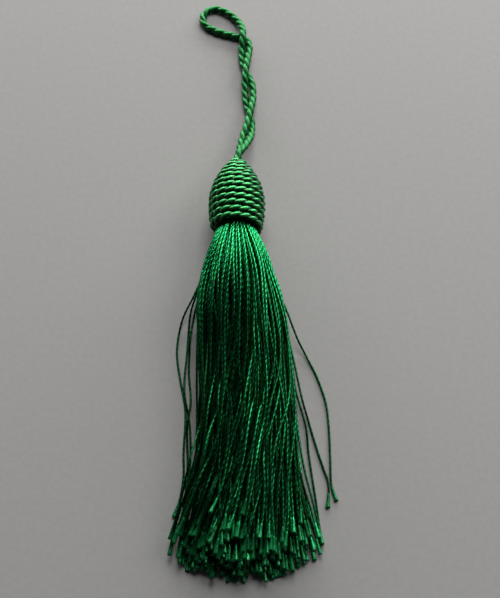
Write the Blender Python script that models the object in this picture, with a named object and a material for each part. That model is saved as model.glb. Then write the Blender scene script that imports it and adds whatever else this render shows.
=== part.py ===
"""Silk tassel: a cord-wound egg-shaped head, a skirt of cut threads and a twisted hanging loop.

Metres, +Z up. The tassel lies on its side on the surface z = 0, with its axis along Y: the loop
points to +Y and the cut ends to -Y. The origin is the middle of the small flat spot on which the
head rests.
"""

import math
import random

import bmesh
import bpy
from mathutils import Matrix, Vector

MM = 0.001

# Twisted cord, the same for the winding and for the loop: two plies laid round each other.
CORD_DIAMETER = 1.6 * MM
PLY_RADIUS = 0.43 * MM
PLY_OFFSET = 0.5 * CORD_DIAMETER - PLY_RADIUS
CORD_WAIST = 0.42 * MM
HALF_LAY = 2.04 * MM  # along the cord from one ply's crest to the next

# Head: an egg whose axis lies along Y, wound from its rim to its tip.
HEAD_RADIUS = 6.5 * MM
HEAD_AXIS_Z = 6.3 * MM
RIM_Y = -6.7 * MM
RIM_DRAW = 0.12  # how far the egg draws in at its rim, as a share of its radius
EGG_LENGTH = 13.6 * MM  # from the widest place to where the egg would close
EGG_POWER = 2.05
EGG_ROUND = 1.0
WINDING_LENGTH = 20.3 * MM  # over the surface, from the rim to the tip
WINDING_START = math.radians(-12)  # where the cord's end is tucked under the rim
STEPS_ROUND = 47
POINTS_ACROSS_CORD = 4
GROOVE_FLOOR = 0.10 * MM
FLAT_SPOT_HALF = (1.9 * MM, 2.5 * MM)  # across and along
FLAT_SPOT_REACH = 1.3 * MM  # how high up the flattened grooves of the spot were
RECESS_RADIUS = 4.9 * MM
RECESS_FLOOR_Y = -3.4 * MM
GAP = 0.3 * MM

# Skirt: rings of strands fused into a bound root inside the head.
ROOT_RADIUS = RECESS_RADIUS - GAP
ROOT_BACK_Y = RECESS_FLOOR_Y - GAP
ROOT_FRONT_Y = -6.3 * MM
ROOT_SIDES = 32
STRAND_WIDTH = 0.46 * MM
STRAND_HEIGHT = 0.38 * MM
STRAND_LIFT = 0.16 * MM  # from a strand's flat underside to its centreline
STRAND_START_Y = -5.4 * MM
OUTER_RING_RADIUS = 4.3 * MM
RING_PITCH = 0.6 * MM
RING_COUNTS = (52, 45, 37, 30, 22, 13)
SKIRT_SEED = 7

# The skirt's outline at distances along the axis: the centrelines of its outermost strands.
# waist is the height at which it is widest, base the height of its lowest strands. These lie level,
# a tenth of a millimetre above the surface, so that the skirt rests firmly on three of its ends.
SECTION_COLUMNS = ("y", "left", "right", "waist", "top", "base")
SECTION_ROWS = (
    (-5.4, -4.3, 4.3, 6.3, 10.6, 2.0),
    (-7.0, -4.4, 4.4, 6.3, 10.7, 1.9),
    (-8.4, -5.3, 5.3, 6.1, 11.2, 1.1),
    (-10.5, -6.0, 6.1, 5.6, 11.4, 0.4),
    (-13.4, -6.8, 7.3, 4.9, 11.3, 0.26),
    (-20.7, -8.5, 9.1, 3.7, 10.4, 0.26),
    (-28.0, -8.6, 10.9, 3.0, 9.3, 0.26),
    (-34.0, -8.4, 12.4, 2.6, 8.6, 0.26),
    (-40.0, -8.2, 13.3, 2.4, 8.1, 0.26),
    (-47.0, -8.2, 13.7, 2.2, 7.6, 0.26),
    (-55.0, -8.5, 13.9, 2.1, 7.2, 0.26),
    (-62.0, -9.3, 14.6, 2.0, 6.9, 0.26),
    (-69.0, -11.0, 15.9, 1.9, 6.6, 0.26),
    (-76.0, -13.2, 17.3, 1.8, 6.4, 0.26),
    (-83.0, -15.0, 18.5, 1.8, 6.2, 0.26),
)
FLOOR_SPREAD = 1.35  # how soon the underside reaches the surface below the waist
TOP_SPREAD = 0.5  # how far the upper strands are evened out across the width

# The upper strands drift to the left in the lower half of the skirt.
DRIFT_START_Y = -34.0 * MM
DRIFT_END_Y = -74.0 * MM
DRIFT = -3.3 * MM
DRIFT_CENTRE_X = 0.5 * MM
DRIFT_WIDTH = 8.0 * MM

# Cut ends: how far the lowest middle strands reach, and how much the others fall short.
LONGEST_Y = -81.0 * MM
TOP_SHORTER = 3.0 * MM
SIDE_SHORTER = 5.6 * MM
CUT_SCATTER = 1.0 * MM
WANDER = 0.16 * MM  # how far a strand wanders sideways
WANDER_LENGTH = 9.0 * MM
STATION_SCATTER = 1.6 * MM  # strands don't all bend at the same place
LAST_SHARED_STATION = -21.0 * MM
SETTLE_LENGTH = 30.0 * MM  # the wander grows to its full size over this length

TOP_STATIONS = (-7.0, -8.4, -10.5, -13.4, -20.7, -30.0, -40.0, -50.0, -60.0, -70.0)
OUTER_STATIONS = (-7.0, -9.0, -13.4, -20.7, -32.0, -45.0, -60.0)
NEXT_STATIONS = (-7.0, -13.4, -24.0, -36.0, -49.0, -64.0)
INNER_STATIONS = (-7.0, -13.4, -26.0, -43.0, -63.0)
CORE_STATIONS = (-7.0, -15.0, -40.0)
CORE_RING = 4  # rings from here inwards are out of sight, with the fewest stations
RESTING_ENDS = (0, 26, 39)  # strands of the outer ring whose ends rest on the surface

# Strands of the outer ring that leave the skirt and lie apart on the surface: the strand's number
# round the ring, and where it goes from there.
STRAY_COLUMNS = ("x", "y", "z")
STRAYS = {
    26: (
        (-9.3, -18.6, 3.4),
        (-10.6, -22.6, 2.4),
        (-12.6, -28.6, 0.6),
        (-13.1, -32.4, 0.26),
        (-12.9, -35.2, 0.26),
        (-12.2, -39.0, 0.26),
        (-11.2, -44.5, 0.26),
        (-10.9, -52.0, 0.26),
        (-11.1, -59.0, 0.26),
        (-11.6, -64.5, 0.26),
        (-12.9, -69.0, 0.26),
    ),
    27: (
        (-9.0, -20.0, 2.5),
        (-10.0, -24.5, 1.4),
        (-10.7, -29.5, 0.26),
        (-11.3, -35.5, 0.26),
        (-11.2, -39.5, 0.26),
        (-10.1, -45.0, 0.26),
        (-9.4, -50.0, 0.26),
        (-9.6, -57.0, 0.26),
        (-10.6, -64.5, 0.26),
        (-12.2, -71.0, 0.26),
    ),
    28: (
        (-8.7, -22.0, 1.5),
        (-9.3, -28.0, 0.26),
        (-9.9, -34.0, 0.26),
        (-9.6, -38.5, 0.26),
        (-8.6, -44.0, 0.26),
        (-8.1, -51.0, 0.26),
        (-8.5, -58.0, 0.26),
        (-9.6, -65.0, 0.26),
        (-11.0, -71.5, 0.26),
    ),
    0: (
        (10.9, -24.5, 3.2),
        (13.1, -30.3, 1.7),
        (15.1, -34.2, 0.5),
        (16.9, -37.9, 0.26),
        (18.2, -41.6, 0.26),
        (19.1, -45.2, 0.26),
        (19.5, -50.0, 0.26),
        (19.65, -57.0, 0.26),
        (19.9, -62.5, 0.26),
        (20.7, -65.8, 0.26),
    ),
    51: (
        (13.9, -44.0, 1.4),
        (15.3, -49.0, 0.3),
        (16.9, -55.0, 0.26),
        (18.0, -59.0, 0.26),
        (18.6, -62.5, 0.26),
        (18.7, -67.3, 0.26),
    ),
    50: (
        (14.6, -50.0, 0.8),
        (15.1, -55.5, 0.26),
        (15.7, -60.6, 0.26),
        (16.4, -66.0, 0.26),
        (17.3, -74.6, 0.26),
    ),
}

# Hanging loop: one cord, from the tip along the upper leg, round the eye and back along the lower.
# The legs lie side by side or pass over each other every half turn; the points are across, along, up.
LOOP_COLUMNS = ("x", "y", "z")
LOOP_ROUTE = (
    (0.15, 12.37, 7.1),
    (0.6, 13.7, 6.95),
    (1.35, 15.1, 6.3),
    (2.27, 17.56, 4.9),
    (3.02, 20.36, 3.1),
    (3.31, 23.08, 1.6),
    (3.36, 25.45, 0.9),
    (3.02, 27.48, 0.8),
    (2.47, 29.49, 0.8),
    (1.98, 31.75, 0.9),
    (1.76, 34.16, 1.1),
    (1.71, 36.66, 1.65),
    (1.73, 38.35, 2.3),
    (1.88, 40.09, 2.5),
    (2.12, 42.09, 2.45),
    (2.4, 44.52, 1.9),
    (2.68, 46.74, 1.2),
    (2.8, 48.3, 0.95),
    (2.55, 49.65, 0.85),
    (1.95, 50.65, 0.8),
    (1.1, 51.2, 0.8),
    (0.1, 51.5, 0.8),
    (-0.98, 51.87, 0.8),
    (-2.63, 52.33, 0.8),
    (-4.44, 52.96, 0.8),
    (-6.23, 53.77, 0.8),
    (-7.8, 54.75, 0.8),
    (-8.78, 56.01, 0.8),
    (-8.99, 57.62, 0.8),
    (-8.38, 59.09, 0.8),
    (-7.24, 60.08, 0.8),
    (-5.57, 60.4, 0.8),
    (-3.74, 59.76, 0.8),
    (-2.06, 58.61, 0.8),
    (-0.63, 57.11, 0.85),
    (0.44, 55.24, 1.25),
    (1.05, 52.91, 2.1),
    (1.2, 51.1, 2.5),
    (1.12, 49.4, 2.25),
    (0.94, 48.0, 1.4),
    (0.89, 46.51, 1.0),
    (0.92, 44.89, 0.85),
    (1.22, 42.92, 0.8),
    (1.84, 40.96, 0.8),
    (2.6, 39.36, 0.8),
    (3.22, 37.75, 0.95),
    (3.58, 35.98, 1.15),
    (3.66, 34.05, 1.3),
    (3.62, 32.24, 1.6),
    (3.4, 30.24, 2.25),
    (3.0, 27.95, 2.5),
    (2.54, 25.61, 2.6),
    (1.93, 23.12, 2.8),
    (1.2, 20.56, 2.9),
    (0.7, 17.74, 3.5),
    (0.4, 15.2, 4.6),
    (0.2, 13.7, 5.2),
    (0.15, 12.37, 5.45),
)
LOOP_STEPS_PER_CREST = 3
LOOP_SECTION_POINTS = 8

SILK_GREEN = (0.012, 0.165, 0.055, 1.0)
SILK_GREEN_DEEP = (0.008, 0.120, 0.040, 1.0)


def named_rows(columns, rows):
    """Rows of millimetres as dictionaries of metres."""
    return [{name: value * MM for name, value in zip(columns, row)} for row in rows]


SECTIONS = named_rows(SECTION_COLUMNS, SECTION_ROWS)


def clear_scene():
    for obj in list(bpy.data.objects):
        bpy.data.objects.remove(obj, do_unlink=True)


def new_collection(name):
    collection = bpy.data.collections.new(name)
    bpy.context.scene.collection.children.link(collection)
    return collection


def silk(name, colour, roughness):
    material = bpy.data.materials.new(name)
    material.use_nodes = True
    shader = material.node_tree.nodes["Principled BSDF"]
    shader.inputs["Base Color"].default_value = colour
    shader.inputs["Roughness"].default_value = roughness
    shader.inputs["Metallic"].default_value = 0.0
    return material


def place(obj, collection, material=None):
    collection.objects.link(obj)
    if material:
        obj.data.materials.append(material)
    return obj


def make_helper(obj):
    """Cutters and curve sections shape other objects and aren't part of the tassel."""
    obj.hide_render = True
    obj.display_type = "WIRE"


def cylinder_along_y(name, radius, back_y, front_y, collection, material=None):
    """A round bar on the head's axis."""
    mesh = bpy.data.meshes.new(name)
    bm = bmesh.new()
    middle = Vector((0, (back_y + front_y) / 2, HEAD_AXIS_Z))
    turn = Matrix.Rotation(math.radians(90), 4, "X")
    bmesh.ops.create_cone(
        bm,
        cap_ends=True,
        segments=ROOT_SIDES,
        radius1=radius,
        radius2=radius,
        depth=back_y - front_y,
        matrix=Matrix.Translation(middle) @ turn,
    )
    bm.to_mesh(mesh)
    bm.free()
    return place(bpy.data.objects.new(name, mesh), collection, material)


def catmull_rom(points, samples_per_span):
    """A smooth curve through the points, as a dense list."""
    ends = [2 * points[0] - points[1], *points, 2 * points[-1] - points[-2]]
    curve = []
    for before, start, end, after in zip(ends, ends[1:], ends[2:], ends[3:]):
        for step in range(samples_per_span):
            t = step / samples_per_span
            curve.append(
                0.5
                * (
                    2 * start
                    + (end - before) * t
                    + (2 * before - 5 * start + 4 * end - after) * t**2
                    + (3 * start - before - 3 * end + after) * t**3
                )
            )
    return [*curve, points[-1]]


def evenly_spaced(curve, spacing):
    """Points along a dense curve, the same distance apart, with both ends kept."""
    reached = [0.0]
    for start, end in zip(curve, curve[1:]):
        reached.append(reached[-1] + (end - start).length)
    count = max(2, round(reached[-1] / spacing))
    points, span = [], 0
    for step in range(count + 1):
        target = reached[-1] * step / count
        while span < len(curve) - 2 and reached[span + 1] < target:
            span += 1
        share = (target - reached[span]) / (reached[span + 1] - reached[span])
        points.append(curve[span].lerp(curve[span + 1], share))
    return points


# ---------------------------------------------------------------- head


def head_radius(y):
    """The egg's outer radius over the crests of its winding."""
    if y < 0:
        return HEAD_RADIUS * (1 - RIM_DRAW * (y / RIM_Y) ** 2)
    return HEAD_RADIUS * (1 - (y / EGG_LENGTH) ** EGG_POWER) ** EGG_ROUND


def winding_bed():
    """The surface of the winding cord's centreline, as rows at even arc lengths from the rim.

    Each row is its arc length, y, radius and outward normal (along the axis, away from it).
    """
    step = 0.02 * MM
    rows, y, reached = [], RIM_Y, 0.0
    while reached < WINDING_LENGTH + step:
        radius, further = head_radius(y), head_radius(y + step)
        length = math.hypot(step, further - radius)
        normal_y, normal_out = (radius - further) / length, step / length
        rows.append(
            (
                reached,
                y - normal_y * CORD_DIAMETER / 2,
                radius - normal_out * CORD_DIAMETER / 2,
                normal_y,
                normal_out,
            )
        )
        reached += length
        y += step
    return rows


def bed_at(rows, arc):
    index = min(int(arc / rows[-1][0] * (len(rows) - 1)), len(rows) - 2)
    while index < len(rows) - 2 and rows[index + 1][0] < arc:
        index += 1
    while index > 0 and rows[index][0] > arc:
        index -= 1
    return rows[index][1:]


def two_ply_height(across, phase):
    """Height of a two-ply cord's surface above its centreline, at a distance across it."""
    height = GROOVE_FLOOR
    for turn in (0.0, math.pi):
        ply_across = PLY_OFFSET * math.cos(phase + turn)
        ply_up = PLY_OFFSET * math.sin(phase + turn)
        reach = PLY_RADIUS**2 - (across - ply_across) ** 2
        if reach > 0:
            height = max(height, ply_up + math.sqrt(reach))
    return height


def rest_flat(point):
    """Presses the winding flat where the head lies on the surface."""
    half_x, half_y = FLAT_SPOT_HALF
    if abs(point.x) < half_x and abs(point.y) < half_y and point.z < FLAT_SPOT_REACH:
        point.z = 0.0
    point.z = max(point.z, 0.0)
    return point


def crest_phases(bed, turns):
    """The turn of the plies at every step of the winding, a whole number of steps to each crest."""
    phases = [0.0]
    for step in range((turns + 1) * STEPS_ROUND):
        arc = min(step / STEPS_ROUND * CORD_DIAMETER, WINDING_LENGTH)
        step_length = 2 * math.pi * bed_at(bed, arc)[1] / STEPS_ROUND
        phases.append(phases[-1] + math.pi / round(HALF_LAY / step_length))
    return phases


def build_head(collection, cutters, material):
    """One solid of the wound form: a grid laid along the helix of the winding, welded at its seam.

    The first turn slides out from the level rim and the last one ends at the level tip.
    """
    turns = math.ceil(WINDING_LENGTH / CORD_DIAMETER) + 1
    rows = turns * POINTS_ACROSS_CORD
    bed = winding_bed()
    phases = crest_phases(bed, turns)
    mesh = bpy.data.meshes.new("head")
    bm = bmesh.new()
    bmesh.ops.create_grid(bm, x_segments=STEPS_ROUND, y_segments=rows, size=0.5)
    for vert in bm.verts:
        column = round((vert.co.x + 0.5) * STEPS_ROUND)
        row = round((vert.co.y + 0.5) * rows)
        turn = row / POINTS_ACROSS_CORD + column / STEPS_ROUND - 1
        arc = turn * CORD_DIAMETER
        height = 0.0
        if 0 < arc < WINDING_LENGTH:
            across = ((row % POINTS_ACROSS_CORD) / POINTS_ACROSS_CORD - 0.5) * CORD_DIAMETER
            step = row // POINTS_ACROSS_CORD * STEPS_ROUND + column
            height = two_ply_height(across, phases[step])
        y, radius, normal_y, normal_out = bed_at(bed, min(max(arc, 0.0), WINDING_LENGTH))
        angle = WINDING_START + 2 * math.pi * column / STEPS_ROUND
        out = radius + normal_out * height
        vert.co = rest_flat(
            Vector(
                (
                    out * math.cos(angle),
                    y + normal_y * height,
                    HEAD_AXIS_Z + out * math.sin(angle),
                )
            )
        )
    bmesh.ops.remove_doubles(bm, verts=bm.verts, dist=1e-6)
    bmesh.ops.dissolve_degenerate(bm, edges=bm.edges, dist=1e-6)
    rims = [edge for edge in bm.edges if edge.is_boundary]
    bmesh.ops.holes_fill(bm, edges=rims, sides=0)
    bmesh.ops.recalc_face_normals(bm, faces=bm.faces)
    bm.to_mesh(mesh)
    bm.free()
    head = place(bpy.data.objects.new("head", mesh), collection, material)

    cutter = cylinder_along_y(
        "skirt_recess_cutter", RECESS_RADIUS, RECESS_FLOOR_Y, 2 * RIM_Y, cutters
    )
    make_helper(cutter)
    recess = head.modifiers.new("skirt recess", "BOOLEAN")
    recess.operation = "DIFFERENCE"
    recess.object = cutter
    return head


# ---------------------------------------------------------------- skirt


def section_at(y):
    """The skirt's outline at a distance along the axis, eased between the table's rows."""
    if y >= SECTIONS[0]["y"]:
        return SECTIONS[0]
    for near, far in zip(SECTIONS, SECTIONS[1:]):
        if y >= far["y"]:
            share = (near["y"] - y) / (near["y"] - far["y"])
            return {name: near[name] + share * (far[name] - near[name]) for name in near}
    return SECTIONS[-1]


def smooth_step(value):
    value = min(1.0, max(0.0, value))
    return value * value * (3 - 2 * value)


def strand_point(y, ring_share, angle, wander=0.0):
    """Where the strand of one ring and angle is at a distance along the axis."""
    section = section_at(y)
    half = (section["right"] - section["left"]) / 2
    middle_x = (section["left"] + section["right"]) / 2
    middle_z = (section["top"] + section["base"]) / 2
    settled = smooth_step((STRAND_START_Y - y) / SETTLE_LENGTH)
    angle = math.remainder(angle, 2 * math.pi)
    even = 1 - 2 * abs(angle) / math.pi
    across = math.cos(angle) + settled * TOP_SPREAD * (even - math.cos(angle))
    up = math.copysign(math.sqrt(max(0.0, 1 - across**2)), angle)
    x = middle_x + half * across
    if up >= 0:
        z = section["waist"] + (section["top"] - section["waist"]) * up
    else:
        below = min(1.0, (1 + (FLOOR_SPREAD - 1) * settled) * -up)
        z = section["waist"] - (section["waist"] - section["base"]) * below
    x = middle_x + ring_share * (x - middle_x)
    z = middle_z + ring_share * (z - middle_z)
    height_share = (z - section["base"]) / (section["top"] - section["base"])
    drifted = smooth_step((y - DRIFT_START_Y) / (DRIFT_END_Y - DRIFT_START_Y))
    beside = math.exp(-(((x - DRIFT_CENTRE_X) / DRIFT_WIDTH) ** 2))
    x += DRIFT * drifted * beside * smooth_step(2 * height_share - 0.6)
    return Vector((x + settled * wander, y, z))


def cut_end(point, section, scatter):
    """How far along the axis a strand reaches before its cut end."""
    half = (section["right"] - section["left"]) / 2
    aside = (point.x - (section["left"] + section["right"]) / 2) / half
    height_share = (point.z - section["base"]) / (section["top"] - section["base"])
    return LONGEST_Y + TOP_SHORTER * height_share + SIDE_SHORTER * aside**2 + scatter


def ring_stations(ring, angle):
    if ring >= CORE_RING:
        return CORE_STATIONS
    if ring > 0:
        return NEXT_STATIONS if ring == 1 else INNER_STATIONS
    return TOP_STATIONS if math.sin(angle) > -0.1 else OUTER_STATIONS


def skirt_strands(rng):
    """The centrelines of all strands of the skirt, ring by ring from the outside in."""
    strands = []
    for ring, count in enumerate(RING_COUNTS):
        ring_share = 1 - ring * RING_PITCH / OUTER_RING_RADIUS
        for number in range(count):
            angle = 2 * math.pi * (number + 0.25) / count
            phase = rng.uniform(0, 2 * math.pi)
            scatter = rng.uniform(-CUT_SCATTER, CUT_SCATTER)
            far = strand_point(SECTIONS[-2]["y"], ring_share, angle)
            shift = rng.uniform(-STATION_SCATTER, STATION_SCATTER)
            along = [STRAND_START_Y]
            for y in ring_stations(ring, angle):
                along.append(y * MM + (shift if y * MM < LAST_SHARED_STATION else 0.0))
            along.append(cut_end(far, SECTIONS[-2], scatter))
            route = []
            if ring == 0 and number in STRAYS:
                rows = named_rows(STRAY_COLUMNS, STRAYS[number])
                route = [Vector((row["x"], row["y"], row["z"])) for row in rows]
                along = [y for y in along if y > route[0].y + 2 * MM]
            wander = [WANDER * math.sin(phase + y / WANDER_LENGTH) for y in along]
            points = [
                strand_point(y, ring_share, angle, aside) for y, aside in zip(along, wander)
            ] + route
            if ring == 0 and number in RESTING_ENDS:
                points[-1].z = STRAND_LIFT
            strands.append(points)
    return strands


def section_curve(name, outline, collection):
    """A closed flat curve that a swept cord or strand takes as its section."""
    curve = bpy.data.curves.new(name, "CURVE")
    curve.dimensions = "2D"
    spline = curve.splines.new("POLY")
    spline.points.add(len(outline) - 1)
    for point, (x, y) in zip(spline.points, outline):
        point.co = (x, y, 0, 1)
    spline.use_cyclic_u = True
    obj = place(bpy.data.objects.new(name, curve), collection)
    make_helper(obj)
    return obj


def swept_curve(name, section, twist_mode):
    curve = bpy.data.curves.new(name, "CURVE")
    curve.dimensions = "3D"
    curve.twist_mode = twist_mode
    curve.bevel_mode = "OBJECT"
    curve.bevel_object = section
    curve.use_fill_caps = True
    return curve


def mesh_of_curve(obj):
    """A mesh object in place of a curve object, with its end caps welded on."""
    graph = bpy.context.evaluated_depsgraph_get()
    mesh = bpy.data.meshes.new_from_object(obj.evaluated_get(graph))
    bm = bmesh.new()
    bm.from_mesh(mesh)
    bmesh.ops.remove_doubles(bm, verts=bm.verts, dist=1e-7)
    bmesh.ops.recalc_face_normals(bm, faces=bm.faces)
    bm.to_mesh(mesh)
    bm.free()
    made = bpy.data.objects.new(obj.name + "_mesh", mesh)
    made.matrix_world = obj.matrix_world
    bpy.data.objects.remove(obj, do_unlink=True)
    return made


def build_skirt(collection, cutters, material):
    """The bound root, with every strand fused to it by a Boolean union."""
    skirt = cylinder_along_y(
        "skirt", ROOT_RADIUS, ROOT_BACK_Y, ROOT_FRONT_Y, collection, material
    )

    half = STRAND_WIDTH / 2
    outline = ((-half, -STRAND_LIFT), (half, -STRAND_LIFT), (0, STRAND_HEIGHT - STRAND_LIFT))
    section = section_curve("strand_section", outline, cutters)
    curve = swept_curve("strands", section, "Z_UP")
    for points in skirt_strands(random.Random(SKIRT_SEED)):
        spline = curve.splines.new("POLY")
        spline.points.add(len(points) - 1)
        for point, position in zip(spline.points, points):
            point.co = (*position, 1)
    strands = bpy.data.objects.new("strands", curve)
    cutters.objects.link(strands)
    bpy.context.view_layer.update()
    strands = mesh_of_curve(strands)
    cutters.objects.link(strands)
    make_helper(strands)
    join = skirt.modifiers.new("strands", "BOOLEAN")
    join.operation = "UNION"
    join.object = strands
    return skirt


# ---------------------------------------------------------------- hanging loop


def two_ply_section():
    """Outline of a two-ply cord: wide across its plies, narrow between them."""
    outline = []
    for number in range(LOOP_SECTION_POINTS):
        angle = 2 * math.pi * number / LOOP_SECTION_POINTS
        fullness = abs(math.cos(angle)) ** 1.5
        radius = CORD_WAIST + (CORD_DIAMETER / 2 - CORD_WAIST) * fullness
        outline.append((radius * math.cos(angle), -radius * math.sin(angle)))
    return outline


def build_loop(collection, cutters, material):
    """The hanging cord, swept with a section that turns once round in two crests."""
    route = [Vector((row["x"], row["y"], row["z"])) for row in named_rows(LOOP_COLUMNS, LOOP_ROUTE)]
    points = evenly_spaced(catmull_rom(route, 24), HALF_LAY / LOOP_STEPS_PER_CREST)
    section = section_curve("cord_section", two_ply_section(), cutters)
    curve = swept_curve("hanging_loop", section, "MINIMUM")
    spline = curve.splines.new("POLY")
    spline.points.add(len(points) - 1)
    for number, (point, position) in enumerate(zip(spline.points, points)):
        point.co = (*position, 1)
        point.tilt = -math.pi * number / LOOP_STEPS_PER_CREST
    return place(bpy.data.objects.new("hanging_loop", curve), collection, material)


def main():
    clear_scene()
    tassel = new_collection("silk_tassel")
    cutters = new_collection("cutters")
    build_head(tassel, cutters, silk("wound_silk_cord", SILK_GREEN, 0.38))
    build_skirt(tassel, cutters, silk("skirt_thread", SILK_GREEN_DEEP, 0.32))
    build_loop(tassel, cutters, silk("loop_cord", SILK_GREEN, 0.40))


main()
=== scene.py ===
"""Silk tassel: the looks of its cord-wound head, its skirt of two-ply threads and its hanging loop.

Everything is worked out from named sizes in the row frame. This script reads no other file, so it
holds the loop's route again, point for point. The skirt's rows and strays follow the solids' ones,
but they aren't the same numbers: the skirt's crown is up to 1.6 mm higher here.
"""

import math

import bpy
import numpy as np
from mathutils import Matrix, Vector


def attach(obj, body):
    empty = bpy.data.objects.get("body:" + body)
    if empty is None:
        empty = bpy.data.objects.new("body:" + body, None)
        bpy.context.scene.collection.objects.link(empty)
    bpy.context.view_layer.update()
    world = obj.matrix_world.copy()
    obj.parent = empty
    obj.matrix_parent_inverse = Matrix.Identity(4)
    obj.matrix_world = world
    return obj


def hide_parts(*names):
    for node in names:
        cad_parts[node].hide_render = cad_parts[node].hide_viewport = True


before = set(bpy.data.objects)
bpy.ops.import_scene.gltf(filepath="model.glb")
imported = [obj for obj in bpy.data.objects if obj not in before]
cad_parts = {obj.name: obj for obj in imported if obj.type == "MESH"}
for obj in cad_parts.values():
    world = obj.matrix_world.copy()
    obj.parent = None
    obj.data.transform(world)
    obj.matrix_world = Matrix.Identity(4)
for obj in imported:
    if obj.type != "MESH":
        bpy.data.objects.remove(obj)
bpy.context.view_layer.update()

MM = 0.001

# ---------------------------------------------------------------- sizes, in millimetres

# Two-ply cord of the winding and of the loop. A half lay is the length of half a turn of its plies.
CORD_DIAMETER = 1.6
WINDING_PLY_RADIUS = 0.52
LOOP_PLY_RADIUS = 0.6  # 0.08 past the cord's own radius, which closes gaps between its legs
PLY_OFFSET = 0.5 * CORD_DIAMETER - WINDING_PLY_RADIUS  # from the cord's middle to its plies'
WINDING_HALF_LAY = 2.1
LOOP_HALF_LAY = 2.25
S_TWIST = -1
CORD_SIDES = 14  # of each ply
LOOP_STEP = 0.2  # between the rings of the loop, and below of the winding
WINDING_STEP = 0.25
FILAMENT_LEAN = 1.6  # radians a millimetre that a ply's own filaments lean against its twist
CORD_STREAK = 2.2  # along a cord, and below along a thread, for one unit of its silk's streaks
THREAD_STREAK = 3.0

# Head: an egg along Y, wound from its rim to its tip.
HEAD_RADIUS = 6.5
HEAD_AXIS_Z = 6.3
RIM_Y = -6.7
RIM_DRAW = 0.12
EGG_LENGTH = 13.6
EGG_POWER = 2.05
WINDING_LENGTH = 20.3
WINDING_START = math.radians(-12)
FIRST_ROW = 0.5  # from the rim to the first row's middle, in rows
LAST_ROW = 0.45  # from the last row's middle to the tip, in rows
TUCK_IN_TURN = 0.55  # radians over which the cord's first end comes out from under the rim
TUCK_IN_DEPTH = 1.5
TUCK_IN_SHIFT = 0.25
TUCK_OUT_TURN = 1.6  # radians over which its last end goes into the tip
TUCK_OUT_DEPTH = 1.3
SKIN_DEPTH = 0.12  # of the skin inside the winding, painted dark as shade, below the cord's middle
SKIN_FIRST_ROW = 0.35
SKIN_ROWS = 40
SKIN_SIDES = 72

# Hanging loop: across, along, up.
LOOP_ROUTE = (
    (0.15, 12.37, 7.1),
    (0.6, 13.7, 6.95),
    (1.35, 15.1, 6.3),
    (2.27, 17.56, 4.9),
    (3.02, 20.36, 3.1),
    (3.31, 23.08, 1.6),
    (3.36, 25.45, 0.9),
    (3.02, 27.48, 0.8),
    (2.47, 29.49, 0.8),
    (1.98, 31.75, 0.9),
    (1.76, 34.16, 1.1),
    (1.71, 36.66, 1.65),
    (1.73, 38.35, 2.3),
    (1.88, 40.09, 2.5),
    (2.12, 42.09, 2.45),
    (2.4, 44.52, 1.9),
    (2.68, 46.74, 1.2),
    (2.8, 48.3, 0.95),
    (2.55, 49.65, 0.85),
    (1.95, 50.65, 0.8),
    (1.1, 51.2, 0.8),
    (0.1, 51.5, 0.8),
    (-0.98, 51.87, 0.8),
    (-2.63, 52.33, 0.8),
    (-4.44, 52.96, 0.8),
    (-6.23, 53.77, 0.8),
    (-7.8, 54.75, 0.8),
    (-8.78, 56.01, 0.8),
    (-8.99, 57.62, 0.8),
    (-8.38, 59.09, 0.8),
    (-7.24, 60.08, 0.8),
    (-5.57, 60.4, 0.8),
    (-3.74, 59.76, 0.8),
    (-2.06, 58.61, 0.8),
    (-0.63, 57.11, 0.85),
    (0.44, 55.24, 1.25),
    (1.05, 52.91, 2.1),
    (1.2, 51.1, 2.5),
    (1.12, 49.4, 2.25),
    (0.94, 48.0, 1.4),
    (0.89, 46.51, 1.0),
    (0.92, 44.89, 0.85),
    (1.22, 42.92, 0.8),
    (1.84, 40.96, 0.8),
    (2.6, 39.36, 0.8),
    (3.22, 37.75, 0.95),
    (3.58, 35.98, 1.15),
    (3.66, 34.05, 1.3),
    (3.62, 32.24, 1.6),
    (3.4, 30.24, 2.25),
    (3.0, 27.95, 2.5),
    (2.54, 25.61, 2.6),
    (1.93, 23.12, 2.8),
    (1.2, 20.56, 2.9),
    (0.7, 17.74, 3.5),
    (0.4, 15.2, 4.6),
    (0.2, 13.7, 5.2),
    (0.15, 12.37, 5.45),
)
LOOP_ROOT = (0.0, -1.3, 0.1)  # from the route's first point to the cord's end in the head

# Skirt: y, then the left, right, waist, top and base of its outermost threads' centrelines.
SKIRT_ROWS = (
    (-5.4, -3.85, 3.85, 6.3, 10.15, 2.45),
    (-6.9, -3.9, 3.9, 6.3, 10.2, 2.4),
    (-8.4, -5.2, 5.2, 6.1, 11.2, 1.2),
    (-10.5, -6.0, 6.1, 5.6, 11.6, 0.4),
    (-13.4, -6.8, 7.3, 4.9, 12.05, 0.27),
    (-17.0, -7.7, 8.2, 4.3, 12.3, 0.27),
    (-20.7, -8.5, 9.1, 3.7, 12.0, 0.27),
    (-28.0, -8.6, 10.9, 3.0, 10.5, 0.27),
    (-34.0, -8.4, 12.4, 2.6, 9.2, 0.27),
    (-40.0, -8.2, 13.3, 2.4, 8.4, 0.27),
    (-47.0, -8.2, 13.7, 2.2, 7.8, 0.27),
    (-55.0, -8.5, 13.9, 2.1, 7.2, 0.27),
    (-62.0, -9.3, 14.6, 2.0, 6.9, 0.27),
    (-69.0, -11.0, 15.9, 1.9, 6.6, 0.27),
    (-76.0, -13.2, 17.3, 1.8, 6.4, 0.27),
    (-83.0, -15.0, 18.5, 1.8, 6.2, 0.27),
)
THREAD_RADIUS = 0.27
THREAD_HALF_LAY = 1.3
LAY_SCATTER = (0.92, 1.12)
THREAD_GROOVE = 0.2  # of the radius
THREAD_STEP = 0.27  # between its rings
THREAD_START_Y = -5.4
RING_RADIUS = 4.3
RING_PITCH = 0.45
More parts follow.
